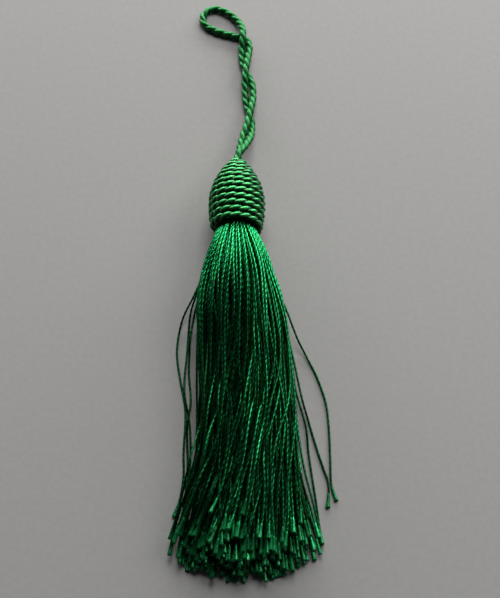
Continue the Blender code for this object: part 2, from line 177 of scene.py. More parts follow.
THREADS_OF_RING = (42, 42, 39, 35, 31, 26, 20, 14, 8)
RING_SCATTER = (-0.045, 0.02)  # of a thread's own ring, in shares of the outermost one
PLACE_SCATTER = 0.3  # of a thread's place in its ring, in pitches of PLACE_PITCH
PLACE_PITCH = 0.46
SLICE = 1.0  # between the places where the threads are pushed apart
SLICES_PAST_END = 2.5  # past the line of the longest cut ends

# How the threads spread over the surface, wind round the skirt and slip off its top.
FLOOR_SPREAD = 1.35
TOP_SPREAD = 0.5
SETTLE_LENGTH = 30.0
TURN = math.radians(76)  # how far the outer threads wind round the skirt on their way
TURN_START_Y = -18.0
TURN_END_Y = -82.0
TURN_POWER = 1.4
TURN_EVEN, TURN_LEFT, TURN_TOP = 0.375, 0.225, 0.6  # shares everywhere, more on the left and on top
TURNS_FROM, TURNS_OVER = 0.3, 0.5  # of the outermost ring, between the still core and the rest
DROOP = 0.6  # how far the threads on top slip to the sides, as a share of their own turn
DROOP_START_Y = -6.0
DROOP_LENGTH = 14.0
DROOP_FADE_Y = -22.0
DROOP_FADE_LENGTH = 40.0
DROOP_FADE = 0.8

# Locks of threads that lean together: how far aside and up, in how many waves of which lengths
# across and along, and how they turn from ring to ring. Then each thread's own waves, and the
# threads that cross over others.
LOOSE_START_Y = -6.0
LOOSE_LENGTH = 26.0
LOCK_ASIDE, ASIDE_WAVES, ASIDE_LENGTHS = 0.8, 7, ((4, 10), (60, 130))
LOCK_UP, UP_WAVES, UP_LENGTHS = 0.6, 6, ((3, 8), (40, 90))
LOCK_DEPTH = 6
LOCK_TURN = 2.6
OWN_ASIDE = 0.22
OWN_UP = 0.34
OWN_LENGTHS = (5.5, 10.0)
STRAYING = 0.6
CROSSING_SHARE = 0.10
CROSSING = 2.6
CROSSING_LIFT = 0.35
CROSSING_START_Y = -14.0
CROSSING_LENGTH = 62.0
OVER_Z = 3.0  # above this a crossing thread goes over the others, and below it under them
EDGE_ROOM = 0.4  # past the outermost threads' places

# Threads inside the bundle, which are plainer: their radius, step and overlap with what shows.
INNER_RADIUS = 0.8 * THREAD_RADIUS
INNER_SECTION = np.radians([0, 90, 180, 270])
INNER_STEP = 2.0
INNER_OVERLAP = 0.8

# Cut ends. Their line is an arc, and the threads on top are shorter.
LONGEST_Y = -81.2
END_SECTION_Y = -76.0
TOP_SHORTER = 3.5
SIDE_SHORTER = 5.6
CUT_SCATTER = 1.4
TOP_SCATTER = 3.4
FLARE_LENGTH = 3.0  # before a cut end, where its filaments open
FLARE_OVERLAP = 0.4  # with the twisted thread before it
FLARE_SIDES = 14
FLARE_RINGS = 13
FLARE_WIDER = (0.25, 0.9)  # than the thread, at the cut
FLARE_HIGHER = (0.1, 0.45)
FLARE_RIPPLE = (0.05, 0.17)
FLARE_RAGGED = 0.25
FLARE_POWER = 1.7
FLARE_TWIST = 1.1  # radians
FLARE_ROOT = 0.6  # of the thread's radius, where it starts inside the twisted thread
FRAYED = 0.7  # how far the silk of a cut has lost its gleam

# Threads that leave the skirt: how far round the outer ring they start, then across, along, up.
STRAYS = (
    (
        26 / 52,
        (-9.5, -21.2, 2.8),
        (-10.8, -23.6, 2.0),
        (-11.8, -25.8, 1.2),
        (-12.6, -29.1, 0.3),
        (-12.9, -33.0, 0.27),
        (-12.6, -36.1, 0.27),
        (-11.9, -40.0, 0.27),
        (-10.9, -45.0, 0.27),
        (-10.65, -49.0, 0.27),
        (-10.85, -55.5, 0.27),
        (-10.75, -61.1, 0.27),
        (-11.4, -65.7, 0.27),
        (-12.5, -69.2, 0.27),
    ),
    (
        27 / 52,
        (-9.6, -22.8, 2.2),
        (-10.2, -25.5, 1.2),
        (-10.5, -29.0, 0.3),
        (-10.7, -33.8, 0.27),
        (-11.05, -38.8, 0.4),
        (-11.0, -42.3, 0.8),
        (-10.6, -45.2, 0.75),
        (-9.9, -48.4, 0.27),
        (-9.5, -52.5, 0.27),
        (-9.45, -57.5, 0.27),
        (-9.9, -63.0, 0.27),
        (-10.9, -68.8, 0.27),
        (-12.0, -72.2, 0.27),
        (-12.7, -74.6, 0.27),
    ),
    (
        28 / 52,
        (-8.9, -23.2, 1.6),
        (-9.6, -26.5, 0.7),
        (-10.1, -30.5, 0.8),
        (-10.15, -34.3, 0.3),
        (-10.2, -38.0, 0.27),
        (-9.7, -43.0, 0.3),
        (-9.7, -46.0, 0.75),
        (-10.2, -49.5, 0.85),
        (-10.15, -53.4, 0.35),
        (-9.95, -58.0, 0.3),
        (-10.1, -62.8, 0.8),
        (-10.3, -66.5, 0.85),
        (-10.7, -69.0, 0.5),
    ),
    (
        0 / 52,
        (10.9, -24.5, 3.2),
        (13.1, -30.3, 1.7),
        (15.1, -34.2, 0.5),
        (16.9, -37.9, 0.27),
        (18.2, -41.6, 0.27),
        (19.1, -45.2, 0.27),
        (19.5, -50.0, 0.27),
        (19.6, -57.0, 0.27),
        (19.62, -62.3, 0.27),
        (20.6, -65.9, 0.27),
    ),
    (
        51 / 52,
        (13.9, -44.0, 1.4),
        (15.3, -49.0, 0.3),
        (16.9, -55.0, 0.27),
        (18.1, -59.0, 0.27),
        (19.05, -62.5, 0.27),
        (18.75, -67.3, 0.27),
    ),
    (
        50 / 52,
        (14.6, -50.0, 0.8),
        (15.1, -55.5, 0.27),
        (15.7, -60.6, 0.27),
        (16.4, -66.0, 0.27),
        (17.3, -74.6, 0.27),
    ),
)
STRAY_SHIFT = 0.25 / 52  # round the ring
STRAY_ROOT_Y = (-5.4, -7.0, -9.0, -13.4, -17.0, -20.7, -28.0, -36.0, -42.0)
STRAY_LEAVING = 3.0  # between the skirt's last place on a stray's way and its own first one

# Threads pushed apart. In the neck they are pressed closer together.
NECK_Y = -8.0
NECK_SPACING = 0.42
PUSH_ROUNDS = 36
PUSH = 0.42
MOST_PUSH = 0.2
EVEN_OUT = 0.45
GO_HOME = 0.015

# Painted shade, painted light and tone, from 0 to 1. A pair gives where a painted shade starts and
# over what it deepens.
LOOP_SHADE = 0.5  # painted shade where the cord turns away from its lit top
WINDING_SHADE = 0.95
AWAY_FROM, AWAY_OVER = 0.7, 0.6  # of the cord's radius
WINDING_TILT = math.radians(38)  # of the side that painted shade leaves lit, off a row's top towards the tip, as if lit from behind
PLY_SHADE = 0.85  # painted shade between a cord's plies
BETWEEN_FROM, BETWEEN_OVER = 0.89, 0.16  # of the cord's radius
THREAD_SHADE = 0.88  # painted shade in the groove between a thread's plies
CREVICE_SHADE = 0.9  # painted shade on a thread that lies deep between its neighbours
CREVICE_LENGTH = 12.0  # past the neck, over which the painted crevice shade fades in; it is left out in the neck so that the neck shows bright
COVER_FROM, COVER_OVER = 0.1, 0.5  # how far above a thread another one covers it
COVER_REACH = 3.0  # and up to where
COVER_BESIDE, COVER_WIDTH = 1.6, 0.6  # and how far beside it
COVERS = 1.8  # that hide a thread fully
NECK_PAINTED_LIGHT = 0.9  # painted light: how much lighter the darker threads are made in the neck, for the sheen light gives there
NECK_PAINTED_LIGHT_END_Y = -32.0
NECK_PAINTED_LIGHT_LENGTH = 20.0
TONE_SPREAD = (0.9, 1.65)  # of the threads' own tones, as a beta distribution
MIDDLE_PAINTED_LIGHT = 0.66  # painted light: what is left of it in the middle, and how that changes to the sides, lighter on the right and darker on the left
SIDE_PAINTED_LIGHT = 0.44
SIDE_WIDTH = 6.0
LEFT_PAINTED_SHADE = 0.1
LEFT_START_X = -1.0
STRAY_TONE = 0.08
INNER_TONE = 0.2
CORD_TONE = 0.5

THREADS_SEED = 11
SPINNING_SEED = 5
MOST_TRIANGLES = 185_000  # in one piece


# ---------------------------------------------------------------- lines and frames


def smooth_step(value):
    """From 0 to 1 as the value does, with soft ends."""
    value = np.clip(value, 0.0, 1.0)
    return value * value * (3 - 2 * value)


def catmull_rom(points, at):
    """Points of the smooth curve through the given ones, at these places counted in spans."""
    points = np.asarray(points, float)
    ends = np.vstack([2 * points[0] - points[1], points, 2 * points[-1] - points[-2]])
    span = np.clip(at.astype(int), 0, len(points) - 2)
    t = (at - span)[:, None]
    before, start, end, after = (ends[span + k] for k in range(4))
    return 0.5 * (
        2 * start
        + (end - before) * t
        + (2 * before - 5 * start + 4 * end - after) * t**2
        + (3 * start - before - 3 * end + after) * t**3
    )


def along(line):
    """How far along a line each of its points is."""
    steps = np.linalg.norm(np.diff(line, axis=0), axis=1)
    return np.concatenate([[0.0], np.cumsum(steps)])


def read_off(at, known_at, rows):
    """Rows of numbers known at some places, read off at others."""
    return np.stack([np.interp(at, known_at, column) for column in rows.T], axis=1)


def smooth_line(points, spacing):
    """A smooth line through the points, with its own points evenly spaced."""
    dense = catmull_rom(points, np.linspace(0, len(points) - 1, 40 * (len(points) - 1) + 1))
    reached = along(dense)
    at = np.linspace(0, reached[-1], max(2, round(reached[-1] / spacing)) + 1)
    return read_off(at, reached, dense)


def unit(vectors):
    return vectors / np.maximum(np.linalg.norm(vectors, axis=-1, keepdims=True), 1e-12)


def directions(line, up):
    """Along the line, away from its underside and across it, at each point."""
    forward = unit(np.gradient(line, axis=0))
    up = np.broadcast_to(np.asarray(up, float), line.shape)
    outward = unit(up - (up * forward).sum(1, keepdims=True) * forward)
    return forward, outward, np.cross(forward, outward)


def even_angles(sides):
    return 2 * math.pi * np.arange(sides) / sides


def round_rings(line, up, aside, radius, theta):
    """Round rings of points about a line."""
    return line[:, None] + radius * (
        np.cos(theta)[None, :, None] * up[:, None] + np.sin(theta)[None, :, None] * aside[:, None]
    )


def shaped_rings(line, up, aside, upward, sideways):
    """Rings about a line whose points are so far up from it and so far aside."""
    return line[:, None] + (upward[..., None] * up[:, None] + sideways[..., None] * aside[:, None])


def fibre_at(theta, lengthwise):
    """Where the points of rings lie round a thread and along it, for its silk's streaks."""
    theta, lengthwise = np.broadcast_arrays(theta, lengthwise[:, None])
    return np.stack([np.cos(theta), np.sin(theta), lengthwise], axis=-1)


# ---------------------------------------------------------------- meshes of many tubes


class Tubes:
    """Tubes gathered for one mesh, with what their material reads at each point.

    fibre is where a point lies round its thread and along it, tone the thread's own number, with
    painted light worked in on the skirt, bare how frayed it is there, and the painted-shade layer
    how dark painted shade makes it there.
    """

    def __init__(self):
        self.rings = []
        self.layers = {"fibre": [], "tone": [], "bare": [], "groove": []}

    def add(self, rings, fibre, tone, bare=0.0, groove=0.0):
        shape = rings.shape[:2]
        self.rings.append(rings)
        self.layers["fibre"].append(fibre)
        for name, value in (("tone", tone), ("bare", bare)):
            of_ring = np.asarray(value, float).reshape(-1, 1)
            self.layers[name].append(np.broadcast_to(of_ring, shape))
        self.layers["groove"].append(np.broadcast_to(groove, shape))

    def triangles(self):
        return sum(2 * (r.shape[0] - 1) * r.shape[1] + 2 * (r.shape[1] - 2) for r in self.rings)

    def faces(self):
        """The faces' corners, how many each has, and whether it is smooth: sides, then two caps."""
        corners, sizes, smooth, first = [], [], [], 0
        for rings in self.rings:
            count, sides = rings.shape[:2]
            near = first + np.arange(count * sides).reshape(count, sides)
            far = np.roll(near, -1, axis=1)
            quads = np.stack([near[:-1], far[:-1], far[1:], near[1:]], axis=-1)
            corners += [quads.reshape(-1), near[0, ::-1], near[-1]]
            sizes += [np.full((count - 1) * sides, 4), [sides, sides]]
            smooth += [np.ones((count - 1) * sides, bool), [False, False]]
            first += count * sides
        return np.concatenate(corners), np.concatenate(sizes), np.concatenate(smooth).astype(bool)

    def mesh(self, name):
        points = np.concatenate([rings.reshape(-1, 3) for rings in self.rings]) * MM
        points[:, 2] = np.maximum(points[:, 2], 0.0)  # nothing goes into the floor
        corners, sizes, smooth = self.faces()
        mesh = bpy.data.meshes.new(name)
        mesh.vertices.add(len(points))
        mesh.vertices.foreach_set("co", points.astype(np.float32).ravel())
        mesh.loops.add(len(corners))
        mesh.loops.foreach_set("vertex_index", corners.astype(np.int32))
        mesh.polygons.add(len(sizes))
        starts = np.concatenate([[0], np.cumsum(sizes)[:-1]])
        mesh.polygons.foreach_set("loop_start", starts.astype(np.int32))
        mesh.update(calc_edges=True)
        mesh.polygons.foreach_set("use_smooth", smooth)
        for layer, parts in self.layers.items():
            is_vector = layer == "fibre"
            kind, field = ("FLOAT_VECTOR", "vector") if is_vector else ("FLOAT", "value")
            values = np.concatenate([part.reshape(-1) for part in parts])
            data = mesh.attributes.new(layer, kind, "POINT").data
            data.foreach_set(field, values.astype(np.float32))
        return mesh


def piece(name, tubes, material, node):
    """The tubes as one piece, which stands for a node."""
    mesh = tubes.mesh(name)
    mesh.materials.append(material)
    obj = bpy.data.objects.new(name, mesh)
    bpy.context.scene.collection.objects.link(obj)
    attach(obj, "root")
    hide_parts(node)
    return obj


def two_ply_cord(line, up, half_lay, ply_radius, shade, tilt=0.0):
    """A cord's two plies laid round its line, in an S-twist.

    shade is how dark painted shade makes the cord away from its lit side, which is tilt radians off
    its top, and where it touches its own turns. Painted shade darkens it between its plies as well.
    """
    tubes = Tubes()
    _, outward, aside = directions(line, up)
    painted_lit_side = math.cos(tilt) * outward + math.sin(tilt) * aside
    reached = along(line)
    theta = even_angles(CORD_SIDES)
    for turn in (0.0, math.pi):
        angle = (S_TWIST * math.pi * reached / half_lay + turn)[:, None]
        radial = np.cos(angle) * outward + np.sin(angle) * aside
        centre = line + PLY_OFFSET * radial
        _, out, across = directions(centre, radial)
        rings = round_rings(centre, out, across, ply_radius, theta)
        # The ply's own filaments lean the other way, so that they run nearly along the cord.
        lean_back = theta[None, :] - FILAMENT_LEAN * S_TWIST * reached[:, None]
        fibre = fibre_at(lean_back, reached / CORD_STREAK + 7 * turn)
        # Painted shade: darker away from the lit side and where the cord touches its own turns, and
        # darker between its plies.
        offset = (rings - line[:, None]) / (0.5 * CORD_DIAMETER)
        toward_painted_lit_side = (offset * painted_lit_side[:, None]).sum(-1)
        painted_unlit_shade = shade * smooth_step((AWAY_FROM - toward_painted_lit_side) / AWAY_OVER)
        from_middle = np.linalg.norm(offset, axis=-1)
        between = PLY_SHADE * smooth_step((BETWEEN_FROM - from_middle) / BETWEEN_OVER)
        tubes.add(rings, fibre, CORD_TONE, groove=1 - (1 - painted_unlit_shade) * (1 - between))
    return tubes


# ---------------------------------------------------------------- materials

# dark and light are the ends of the threads' colours. filament is how fine the streaks are round a
# thread and along it.
SILKS = {
    "cord_silk": {
        "dark": (0.001, 0.030, 0.006),
        "light": (0.040, 0.47, 0.118),
        "metallic": 0.65,
        "roughness": 0.24,
        "filament": (4.5, 4.5, 0.8),
        "bump": 0.8,
        "coat": 0.12,
    },
    "loop_silk": {
        "dark": (0.001, 0.034, 0.005),
        "light": (0.005, 0.158, 0.032),
        "metallic": 0.75,
        "roughness": 0.42,
        "filament": (4.5, 4.5, 0.8),
        "bump": 0.8,
        "coat": 0.08,
    },
    "thread_silk": {
        "dark": (0.001, 0.020, 0.004),
        "light": (0.018, 0.43, 0.135),
        "metallic": 0.93,
        "roughness": 0.22,
        "filament": (3.0, 3.0, 0.9),
        "bump": 0.5,
        "coat": 0.0,
    },
}
SPECULAR_TINT = (0.62, 1.0, 0.74, 1.0)
SHEEN_TINT = (0.08, 1.0, 0.3, 1.0)
FLOOR_DARK = (0.225, 0.225, 0.224)
FLOOR_LIGHT = (0.262, 0.262, 0.26)


def new_material(name):
    """A material, its node tree and its shader."""
    material = bpy.data.materials.new(name)
    material.use_nodes = True
    return material, material.node_tree, material.node_tree.nodes["Principled BSDF"]


def feed(tree, node, inputs):
    """Sets a node's inputs, each to a value or to another node's output."""
    for key, value in inputs.items():
        if isinstance(value, bpy.types.NodeSocket):
            tree.links.new(value, node.inputs[key])
        else:
            node.inputs[key].default_value = value
    return node


def attribute(tree, name, output="Fac"):
    node = tree.nodes.new("ShaderNodeAttribute")
    node.attribute_name = name
    return node.outputs[output]


def calculated(tree, kind, operation, *values):
    """What a Math or VectorMath node makes of the values."""
    node = tree.nodes.new(kind)
    node.operation = operation
    return feed(tree, node, dict(enumerate(values))).outputs[0]


def noise(tree, place, inputs):
    node = tree.nodes.new("ShaderNodeTexNoise")
    return feed(tree, node, {"Vector": place, **inputs}).outputs["Fac"]


def mapped(tree, value, start=(0.0, 1.0), end=(0.0, 1.0)):
    """A number taken from one range to another."""
    node = tree.nodes.new("ShaderNodeMapRange")
    ranges = {"From Min": start[0], "From Max": start[1], "To Min": end[0], "To Max": end[1]}
    return feed(tree, node, {"Value": value, **ranges}).outputs["Result"]


def ramp(tree, share, *stops):
    """A colour between two stops, each a place from 0 to 1 and a colour."""
    node = tree.nodes.new("ShaderNodeValToRGB")
    for element, (place, colour) in zip(node.color_ramp.elements, stops):
        element.position = place
        element.color = (*colour, 1.0)
    return feed(tree, node, {"Fac": share}).outputs["Color"]


def mixed(tree, share, first, second):
    """A mix of two colours."""
    node = tree.nodes.new("ShaderNodeMix")
    node.data_type = "RGBA"
    return feed(tree, node, {0: share, 6: first, 7: second}).outputs[2]


def silk(name):
    """Lustrous silk: filaments along each thread, each thread a little lighter or darker, with
    painted shade and painted light mixed into its colour.
    """
    look = SILKS[name]
    material, tree, shader = new_material(name)
    stretched = calculated(
        tree,
        "ShaderNodeVectorMath",
        "MULTIPLY",
        attribute(tree, "fibre", "Vector"),
        look["filament"],
    )
    streaks = noise(tree, stretched, {"Scale": 1.0, "Detail": 4.0, "Roughness": 0.72})
    strands = mapped(tree, streaks, start=(0.32, 0.68))

    soft = calculated(tree, "ShaderNodeMath", "MULTIPLY", strands, 0.3)
    blend = calculated(
        tree, "ShaderNodeMath", "MULTIPLY_ADD", attribute(tree, "tone"), 0.7, soft
    )
    colour = ramp(tree, blend, (0.1, look["dark"]), (0.85, look["light"]))
    bare = attribute(tree, "bare")
    frayed_colour = (*[0.8 * c + 0.003 for c in look["light"]], 1.0)
    # Painted shade: a darker green, mixed in as far as the painted-shade layer says.
    shade_colour = (*[0.6 * c for c in look["dark"]], 1.0)
    colour = mixed(tree, bare, colour, frayed_colour)
    colour = mixed(tree, attribute(tree, "groove"), colour, shade_colour)

    relief = feed(
        tree,
        tree.nodes.new("ShaderNodeBump"),
        {"Strength": look["bump"], "Distance": 0.03 * MM, "Height": strands},
    )
    roughness, metallic = look["roughness"], look["metallic"]
    inputs = {
        "Base Color": colour,
        "Metallic": mapped(tree, bare, end=(metallic, 0.35 * metallic)),
        "Roughness": mapped(tree, strands, end=(roughness - 0.07, roughness + 0.09)),
        "Normal": relief.outputs["Normal"],
        "IOR": 1.54,
        "Specular Tint": SPECULAR_TINT,
        "Coat Weight": look["coat"],
        "Coat Roughness": 0.18,
        "Sheen Weight": 0.065,
        "Sheen Roughness": 0.35,
        "Sheen Tint": SHEEN_TINT,
    }
    feed(tree, shader, inputs)
    return material


def pale_floor():
    material, tree, shader = new_material("pale_floor")
    place = tree.nodes.new("ShaderNodeTexCoord").outputs["Object"]
    grain = noise(tree, place, {"Scale": 900})
    colour = ramp(tree, grain, (0.0, FLOOR_DARK), (1.0, FLOOR_LIGHT))
    feed(tree, shader, {"Base Color": colour, "Roughness": 0.85, "Specular IOR Level": 0.2})
    return material


# ---------------------------------------------------------------- camera, light and floor

CAMERA_AIM = (2.95, -20.3, 0.0)
CAMERA_DISTANCE = 237.1
CAMERA_ELEVATION = math.radians(65)
PICTURE_HEIGHT = 598  # pixels
FOCAL_LENGTH = 1067  # pixels
SENSOR_SIZE = 36

# Area lights: name, place and size in metres, and watts.
LIGHTS = (
    ("window", (0.04, 0.70, 0.17), (1.6, 0.26), 19.0),
    ("high", (0.06, 0.43, 0.56), (0.36, 0.42), 4.3),
    ("side", (0.55, 0.30, 0.50), (0.35, 0.35), 2.6),
)
LIGHTS_AIM = (0, -0.02, 0)
DAYLIGHT = (1.0, 0.985, 0.96)
SKY_COLOUR = (0.92, 0.95, 1.0, 1.0)
SKY_STRENGTH = 0.03
FLOOR_HALF = 1.5  # metres


def add_camera():
    """Seen from the side of the cut ends, from well above the surface."""
    camera = bpy.data.objects.new("camera", bpy.data.cameras.new("camera"))
    bpy.context.scene.collection.objects.link(camera)
    back = Vector((0, -math.cos(CAMERA_ELEVATION), math.sin(CAMERA_ELEVATION)))
    camera.location = Vector(CAMERA_AIM) * MM + CAMERA_DISTANCE * MM * back
    camera.rotation_euler = (math.radians(90) - CAMERA_ELEVATION, 0, 0)
    camera.data.lens = FOCAL_LENGTH / PICTURE_HEIGHT * SENSOR_SIZE
    camera.data.sensor_width = SENSOR_SIZE
    camera.data.clip_start = 0.001
    camera.data.clip_end = 20
    bpy.context.scene.camera = camera


def add_light():
    """A wide soft window low behind the loop, two weaker lights and a little light all round."""
    bpy.context.scene.view_settings.view_transform = "Standard"
    for name, place, size, watts in LIGHTS:
        light = bpy.data.lights.new(name, "AREA")
        light.shape = "RECTANGLE"
        light.size, light.size_y = size
        light.energy = watts
        light.color = DAYLIGHT
        obj = bpy.data.objects.new(name, light)
        bpy.context.scene.collection.objects.link(obj)
        obj.location = place
        toward = Vector(LIGHTS_AIM) - Vector(place)
        obj.rotation_euler = toward.to_track_quat("-Z", "Y").to_euler()
    world = bpy.data.worlds.new("studio")
    bpy.context.scene.world = world
    world.use_nodes = True
    world.node_tree.nodes["Background"].inputs["Color"].default_value = SKY_COLOUR
    world.node_tree.nodes["Background"].inputs["Strength"].default_value = SKY_STRENGTH


def add_floor():
    mesh = bpy.data.meshes.new("floor")
    corners = [(x * FLOOR_HALF, y * FLOOR_HALF, 0) for x, y in ((-1, -1), (1, -1), (1, 1), (-1, 1))]
    mesh.from_pydata(corners, [], [(0, 1, 2, 3)])
    mesh.materials.append(pale_floor())
    floor = bpy.data.objects.new("floor", mesh)
    bpy.context.scene.collection.objects.link(floor)


# ---------------------------------------------------------------- hanging loop


def add_loop(material):
    route = np.array(LOOP_ROUTE)
    root = np.array(LOOP_ROOT)
    route = np.vstack([route[0] + root, route, route[-1] + root * (1, 1, -1)])
    line = smooth_line(route, LOOP_STEP)
    tubes = two_ply_cord(line, (0, 0, 1), LOOP_HALF_LAY, LOOP_PLY_RADIUS, LOOP_SHADE)
    loop = piece("twisted_loop", tubes, material, "hanging_loop")


# ---------------------------------------------------------------- head


def head_radius(y):
    if y < 0:
        return HEAD_RADIUS * (1 - RIM_DRAW * (y / RIM_Y) ** 2)
    return HEAD_RADIUS * (1 - (y / EGG_LENGTH) ** EGG_POWER)


def winding_bed():
    """The surface of the winding's centreline: arc length, y, radius and the normal's two parts."""
    step, rows, y, reached = 0.02, [], RIM_Y, 0.0
    while reached < WINDING_LENGTH + step:
        radius, further = head_radius(y), head_radius(y + step)
        length = math.hypot(step, further - radius)
        normal_y, normal_out = (radius - further) / length, step / length
        bed_y = y - normal_y * CORD_DIAMETER / 2
        bed_radius = radius - normal_out * CORD_DIAMETER / 2
        rows.append((reached, bed_y, bed_radius, normal_y, normal_out))
        reached += length
        y += step
    return np.array(rows)


def on_bed(bed, arc, angle):
    """Points on the winding's surface and their outward directions."""
    y, radius, normal_y, normal_out = (np.interp(arc, bed[:, 0], bed[:, k]) for k in range(1, 5))
    normal = np.stack([normal_out * np.cos(angle), normal_y, normal_out * np.sin(angle)], axis=-1)
    middle = np.stack([radius * np.cos(angle), y, HEAD_AXIS_Z + radius * np.sin(angle)], axis=-1)
    return middle, normal


def winding_line(bed):
    """The wound cord's line and the outward directions along it."""
    first = FIRST_ROW * CORD_DIAMETER
    last = WINDING_LENGTH - LAST_ROW * CORD_DIAMETER
    arc = np.arange(first, last, 0.002)
    angle = WINDING_START + 2 * math.pi * (arc / CORD_DIAMETER - FIRST_ROW)
    line, normal = on_bed(bed, arc, angle)
    reached = along(line)
    at = np.linspace(0, reached[-1], round(reached[-1] / WINDING_STEP))
    line, normal = read_off(at, reached, line), read_off(at, reached, normal)

    # The cord's first end is tucked in under the rim, and its last one into the tip.
    tuck_in = []
    for share in np.linspace(1, 0, 13)[:-1]:
        turn = np.array(WINDING_START - TUCK_IN_TURN * share)
        point, out = on_bed(bed, np.array(first), turn)
        shift = (0, -TUCK_IN_SHIFT * share, 0)
        tuck_in.append((point - out * TUCK_IN_DEPTH * share**2 + shift, out))
    tuck_out = []
    end_angle = math.atan2(line[-1][2] - HEAD_AXIS_Z, line[-1][0])
    for share in np.linspace(0, 1, 9)[1:]:
        point, out = on_bed(bed, np.array(last), np.array(end_angle + TUCK_OUT_TURN * share))
        tuck_out.append((point - out * TUCK_OUT_DEPTH * share**2, out))
    line = np.vstack([[p for p, _ in tuck_in], line, [p for p, _ in tuck_out]])
    normal = np.vstack([[n for _, n in tuck_in], normal, [n for _, n in tuck_out]])
    return line, normal


def winding_inside(bed):
    """Rings of the closed skin under the cord, which no light comes through; it is painted dark as
    shade.
    """
    rings = []
    for arc in np.linspace(SKIN_FIRST_ROW * CORD_DIAMETER, WINDING_LENGTH, SKIN_ROWS):
        middle, normal = on_bed(bed, np.full(SKIN_SIDES, arc), even_angles(SKIN_SIDES))
        rings.append(middle - SKIN_DEPTH * normal)
    return np.stack(rings)[:, ::-1]


def add_head(material):
    """The cord wound round from the rim to the tip, over a skin inside the winding that is painted
    dark as shade.
    """
    bed = winding_bed()
    line, normal = winding_line(bed)
    tubes = two_ply_cord(
        line, normal, WINDING_HALF_LAY, WINDING_PLY_RADIUS, WINDING_SHADE, WINDING_TILT
    )
    skin = winding_inside(bed)
    # The skin takes the silk's shade colour in full: painted shade inside the winding.
    tubes.add(skin, np.zeros(skin.shape), 0.0, groove=1.0)
    piece("wound_head", tubes, material, "head")


# ---------------------------------------------------------------- skirt: where its threads lie


def section(y):
    """left, right, waist, top and base of the skirt at a distance along the axis."""
    rows = np.array(SKIRT_ROWS)[::-1]
    return [np.interp(y, rows[:, 0], rows[:, k]) for k in range(1, 6)]


def thread_place(y, ring_share, angle):
    """Across and up, where the thread of a ring and angle is at a distance along the axis."""
    left, right, waist, top, base = section(y)
    settled = smooth_step((THREAD_START_Y - y) / SETTLE_LENGTH)
    angle = np.mod(angle + math.pi, 2 * math.pi) - math.pi
    even = 1 - 2 * np.abs(angle) / math.pi
    across = np.cos(angle) + settled * TOP_SPREAD * (even - np.cos(angle))
    up = np.copysign(np.sqrt(np.maximum(0.0, 1 - across**2)), angle)
    middle_x, half = (left + right) / 2, (right - left) / 2
    below = np.minimum(1.0, -(1 + (FLOOR_SPREAD - 1) * settled) * up)
    z = waist + np.where(up >= 0, (top - waist) * up, -(waist - base) * below)
    x = middle_x + ring_share * half * across
    z = (top + base) / 2 + ring_share * (z - (top + base) / 2)
    return x, z


def thread_starts(rng):
    """Every thread's share of the outermost ring's size, and its angle."""
    ring_share, angle = [], []
    for ring, count in enumerate(THREADS_OF_RING):
        ring_share += [1 - ring * RING_PITCH / RING_RADIUS] * count
        angle += list(2 * math.pi * (np.arange(count) + rng.uniform(0, 1)) / count)
    ring_share = np.array(ring_share) + rng.uniform(*RING_SCATTER, len(ring_share))
    aside = rng.uniform(-PLACE_SCATTER, PLACE_SCATTER, len(angle)) * PLACE_PITCH
    return ring_share, np.array(angle) + aside / (RING_RADIUS * ring_share)


def wound(grid_y, share, angle):
    """The threads' angles on their way. Those of the right side wind least, those on top most."""
    outer = smooth_step((share - TURNS_FROM) / TURNS_OVER)
    turned = np.clip((grid_y - TURN_START_Y) / (TURN_END_Y - TURN_START_Y), 0, 1) ** TURN_POWER
    most = TURN_EVEN - TURN_LEFT * np.cos(angle) + TURN_TOP * np.maximum(np.sin(angle), 0)
    angle = angle + TURN * most * turned * outer
    droop = smooth_step((DROOP_START_Y - grid_y) / DROOP_LENGTH)
    droop = droop * (1 - DROOP_FADE * smooth_step((DROOP_FADE_Y - grid_y) / DROOP_FADE_LENGTH))
    return angle - DROOP * droop * outer * np.cos(angle) * np.maximum(np.sin(angle), 0)


def waves(rng, count, lengths):
    """Slow waves of random direction, for locks of threads that lean together."""
    return [
        (
            rng.uniform(-1, 1),
            2 * math.pi / rng.uniform(*lengths[0]),
            2 * math.pi / rng.uniform(*lengths[1]),
            rng.uniform(0, 2 * math.pi),
            rng.uniform(0.4, 1.2),
        )
        for _ in range(count)
    ]


def lean(wave_list, x, y, depth):
    total = sum(
        size * np.sin(kx * x + ky * y + phase + LOCK_TURN * turn * depth)
        for size, kx, ky, phase, turn in wave_list
    )
    return total / math.sqrt(len(wave_list) / 3)


def tousled(rng, x, z, grid_y, share):
    """Places with locks that lean together, threads that wander, and a few that cross over."""
    free = len(share)
    loose = smooth_step((LOOSE_START_Y - grid_y) / LOOSE_LENGTH)
    depth = (1 - share) * LOCK_DEPTH
    x = x + LOCK_ASIDE * loose * lean(waves(rng, ASIDE_WAVES, ASIDE_LENGTHS), x, grid_y, depth)
    z = z + LOCK_UP * loose * lean(waves(rng, UP_WAVES, UP_LENGTHS), x, grid_y, depth)
    own = rng.uniform(0, 2 * math.pi, (2, free, 1))
    length = rng.uniform(*OWN_LENGTHS, (2, free, 1))
    x = x + OWN_ASIDE * loose * np.sin(grid_y / length[0] + own[0])
    z = z + OWN_UP * loose * np.sin(grid_y / length[1] + own[1])
    crosses = rng.random((free, 1)) < CROSSING_SHARE
    straying = rng.normal(0, STRAYING, (free, 1))
    straying = straying + np.where(crosses, rng.normal(0, CROSSING, (free, 1)), 0.0)
    late = smooth_step((CROSSING_START_Y - grid_y) / CROSSING_LENGTH)
    x = x + straying * late
    z = z + np.where(crosses, CROSSING_LIFT, 0.0) * late * np.sign(z - OVER_Z)
    left, right, *_ = section(grid_y)
    return np.clip(x, left - EDGE_ROOM, right + EDGE_ROOM), z


